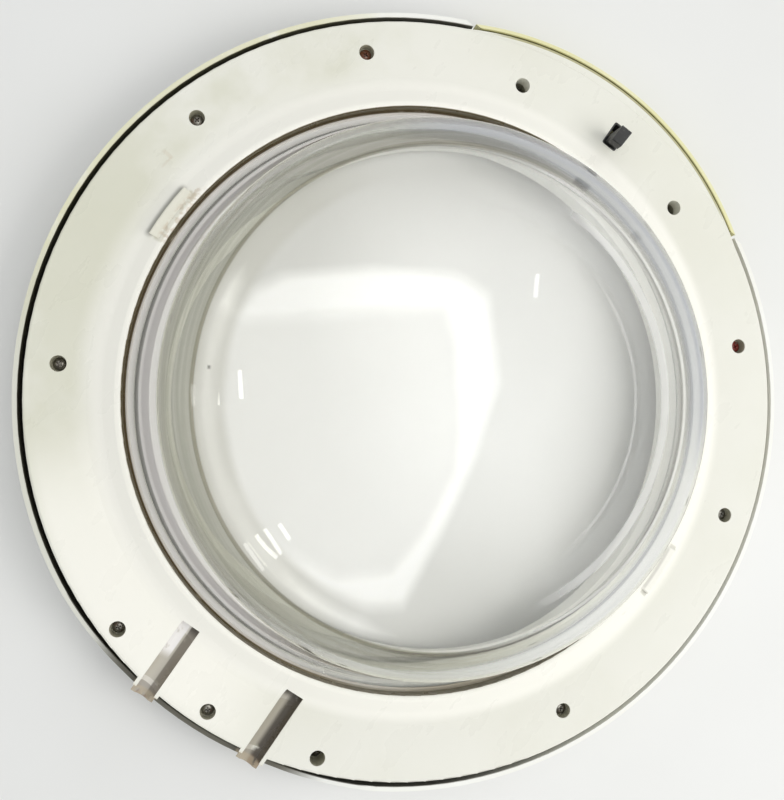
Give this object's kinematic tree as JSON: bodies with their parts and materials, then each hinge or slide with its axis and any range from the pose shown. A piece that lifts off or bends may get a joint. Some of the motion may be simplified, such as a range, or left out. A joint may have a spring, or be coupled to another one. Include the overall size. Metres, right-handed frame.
{
  "type": "washing machine door",
  "caption": "Round front-loader door: white front ring and cream back ring clamp a clear glass bowl; a crescent handle and spring hook turn on one pin at the rim.",
  "frame": {"origin": "centre of the front ring in the plane of its flat front crest, on which the door lies", "axes": "+Z from the front to the glass bowl, +X to the hinge side, -X to the handle and hook, +Y up the door in use"},
  "size_m": [0.474, 0.47, 0.109],
  "materials": {
    "white_plastic": "gloss",
    "cream_plastic": "satin",
    "clear_glass": "polished",
    "yellowed_plastic": "satin",
    "black_plastic": "satin",
    "steel": "plated",
    "spring_steel": "bright"
  },
  "bodies": {
    "door": {"front_ring": "white_plastic", "back_ring": "cream_plastic", "glass_bowl": "clear_glass", "latch_case": "black_plastic", "handle_pin": "steel", "hook_spring": "spring_steel", "ring_screws": "steel", "hinge_screws": "steel", "latch_screws": "steel"},
    "handle": {"handle": "yellowed_plastic"},
    "hook": {"hook": "black_plastic"}
  },
  "joints": [
    {"name": "handle_pull", "type": "hinge", "parent": "door", "child": "handle", "pos_m": [-0.204, 0, 0.0075], "axis": [0, -1, 0], "range_deg": [0, 12], "stiffness_Nm_per_rad": 0.1, "springref_deg": -17.19},
    {"name": "hook_release", "type": "hinge", "parent": "door", "child": "hook", "pos_m": [-0.204, 0, 0.0075], "axis": [0, -1, 0], "range_deg": [0, 12], "stiffness_Nm_per_rad": 0.1, "springref_deg": -17.19, "deforming": ["hook_spring"]}
  ],
  "couplings": [
    {"joint": "hook_release", "follows": "handle_pull", "ratio": 1}
  ]
}
